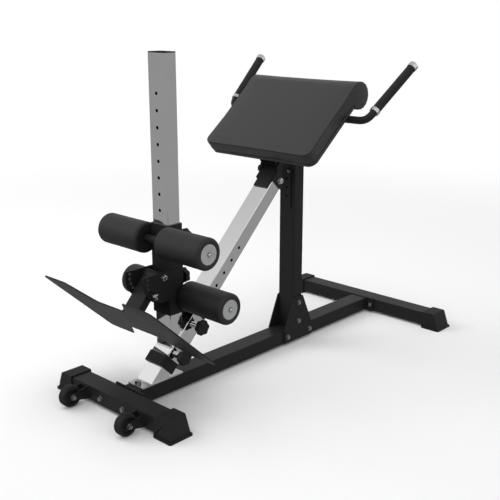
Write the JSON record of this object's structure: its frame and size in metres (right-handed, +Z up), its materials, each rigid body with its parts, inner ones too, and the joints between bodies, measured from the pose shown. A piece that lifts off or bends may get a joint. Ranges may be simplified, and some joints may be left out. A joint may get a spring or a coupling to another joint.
{
  "type": "glute ham developer",
  "caption": "Adjustable bench for back and hamstring work: hip pad with handles on a floor frame, sliding roller column, carriage with foam ankle rollers and a tilting foot plate",
  "frame": {"origin": "on the floor, under the middle of the machine's bounding box", "axes": "+X runs from the front foot with the transport wheels to the rear foot, +Y to the left, +Z up"},
  "size_m": [1.4422, 0.7474, 1.0673],
  "materials": {
    "black_powder_coat": "satin black powder coat on steel",
    "polished_steel": "satin chrome plated steel tube",
    "zinc_plated_steel": "bright zinc plated fasteners",
    "black_rubber": "matt moulded black rubber",
    "black_nylon": "moulded black nylon with a fine grain",
    "grey_plastic": "moulded grey plastic",
    "roller_foam": "closed-cell black foam, matt with a fine grain",
    "pad_vinyl": "dark grey vinyl with a fine leather grain",
    "plywood": "plywood, wrapped in the pad's vinyl"
  },
  "bodies": {
    "base": {"front_foot_beam": "black_powder_coat", "rear_foot_beam": "black_powder_coat", "front_foot_cap_left": "black_rubber", "front_foot_cap_right": "black_rubber", "rear_foot_cap_left": "black_rubber", "rear_foot_cap_right": "black_rubber", "main_rail": "black_powder_coat", "front_flange_bolt_left": "zinc_plated_steel", "front_flange_bolt_right": "zinc_plated_steel", "rear_flange_bolt_left": "zinc_plated_steel", "rear_flange_bolt_right": "zinc_plated_steel", "wheel_bolt_left": "zinc_plated_steel", "wheel_bolt_right": "zinc_plated_steel", "upright_post": "black_powder_coat", "hole_strip": "black_powder_coat", "gusset_left": "black_powder_coat", "gusset_right": "black_powder_coat", "gusset_bolt_front": "zinc_plated_steel", "gusset_bolt_rear": "zinc_plated_steel", "gusset_bolt_low": "zinc_plated_steel", "gusset_bolt_high": "zinc_plated_steel", "sloping_beam": "polished_steel", "beam_base_plate": "polished_steel", "base_plate_bolt": "zinc_plated_steel", "top_bracket": "black_powder_coat", "bracket_cross_bolt": "zinc_plated_steel", "pad_frame": "black_powder_coat", "pad_board": "plywood", "hip_pad": "pad_vinyl", "handle_bar": "black_powder_coat", "handle_grip_left": "black_rubber", "handle_grip_right": "black_rubber"},
    "wheel_left": {"transport_wheel_left": "black_rubber"},
    "wheel_right": {"transport_wheel_right": "black_rubber"},
    "slider": {"slider_sleeve": "polished_steel", "slider_ring_low": "black_nylon", "slider_ring_high": "black_nylon", "roller_column": "polished_steel", "column_cap": "black_nylon"},
    "slider_pin": {"slider_pin": "black_nylon"},
    "slider_lock": {"slider_lock_screw": "zinc_plated_steel"},
    "slider_lock_knob": {"slider_lock_knob": "black_nylon"},
    "carriage": {"carriage_sleeve": "black_powder_coat", "upper_axle": "black_powder_coat", "lower_axle": "black_powder_coat", "arm_pivot_bolt": "zinc_plated_steel"},
    "carriage_pin": {"carriage_pin": "black_nylon"},
    "carriage_lock": {"carriage_lock_screw": "zinc_plated_steel"},
    "carriage_lock_knob": {"carriage_lock_knob": "black_nylon"},
    "upper_roller_left": {"upper_roller_left_core": "grey_plastic", "upper_roller_left_foam": "roller_foam"},
    "upper_roller_right": {"upper_roller_right_core": "grey_plastic", "upper_roller_right_foam": "roller_foam"},
    "lower_roller_left": {"lower_roller_left_core": "grey_plastic", "lower_roller_left_foam": "roller_foam"},
    "lower_roller_right": {"lower_roller_right_core": "grey_plastic", "lower_roller_right_foam": "roller_foam"},
    "foot_arm": {"foot_arm": "black_powder_coat", "foot_plate": "black_powder_coat"},
    "detent_pin": {"detent_pin": "zinc_plated_steel"}
  },
  "joints": [
    {"name": "wheel_left_spin", "type": "hinge", "parent": "base", "child": "wheel_left", "pos_m": [-0.687, 0.136, 0.036], "axis": [0, 1, 0], "continuous": true},
    {"name": "wheel_right_spin", "type": "hinge", "parent": "base", "child": "wheel_right", "pos_m": [-0.687, -0.136, 0.036], "axis": [0, 1, 0], "continuous": true},
    {"name": "slider_slide", "type": "slide", "parent": "base", "child": "slider", "axis": [0.7071, 0, 0.7071], "range_m": [0, 0.3]},
    {"name": "slider_pin_pull", "type": "slide", "parent": "slider", "child": "slider_pin", "axis": [0, -1, 0], "range_m": [0, 0.012], "stiffness_N_per_m": 400, "springref_m": -0.004},
    {"name": "slider_lock_travel", "type": "slide", "parent": "slider", "child": "slider_lock", "axis": [0, -1, 0], "range_m": [0, 0.0035]},
    {"name": "slider_lock_turn", "type": "hinge", "parent": "slider_lock", "child": "slider_lock_knob", "pos_m": [-0.3995, -0.04, 0.13325], "axis": [0, -1, 0], "range_deg": [0, 720]},
    {"name": "carriage_slide", "type": "slide", "parent": "slider", "child": "carriage", "axis": [0, 0, 1], "range_m": [0, 0.45]},
    {"name": "carriage_pin_pull", "type": "slide", "parent": "carriage", "child": "carriage_pin", "axis": [1, 0, 0], "range_m": [-0.009, 0.012], "stiffness_N_per_m": 400, "springref_m": -0.009},
    {"name": "carriage_lock_travel", "type": "slide", "parent": "carriage", "child": "carriage_lock", "axis": [1, 0, 0], "range_m": [0, 0.0035]},
    {"name": "carriage_lock_turn", "type": "hinge", "parent": "carriage_lock", "child": "carriage_lock_knob", "pos_m": [-0.362, 0, 0.373], "axis": [1, 0, 0], "range_deg": [0, 720]},
    {"name": "upper_roller_left_spin", "type": "hinge", "parent": "carriage", "child": "upper_roller_left", "pos_m": [-0.4348, 0.136, 0.509], "axis": [0, 1, 0], "continuous": true},
    {"name": "upper_roller_right_spin", "type": "hinge", "parent": "carriage", "child": "upper_roller_right", "pos_m": [-0.4348, -0.136, 0.509], "axis": [0, 1, 0], "continuous": true},
    {"name": "lower_roller_left_spin", "type": "hinge", "parent": "carriage", "child": "lower_roller_left", "pos_m": [-0.3492, 0.136, 0.319], "axis": [0, 1, 0], "continuous": true},
    {"name": "lower_roller_right_spin", "type": "hinge", "parent": "carriage", "child": "lower_roller_right", "pos_m": [-0.3492, -0.136, 0.319], "axis": [0, 1, 0], "continuous": true},
    {"name": "foot_arm_swing", "type": "hinge", "parent": "carriage", "child": "foot_arm", "pos_m": [-0.447, 0, 0.401], "axis": [0, 1, 0], "range_deg": [0, 56]},
    {"name": "detent_pin_pull", "type": "slide", "parent": "carriage", "child": "detent_pin", "axis": [0, -1, 0], "range_m": [0, 0.1]}
  ],
  "couplings": [
    {"joint": "slider_lock_turn", "follows": "slider_lock_travel", "rad_per_m": 3590.4},
    {"joint": "carriage_lock_turn", "follows": "carriage_lock_travel", "rad_per_m": 3590.4}
  ]
}
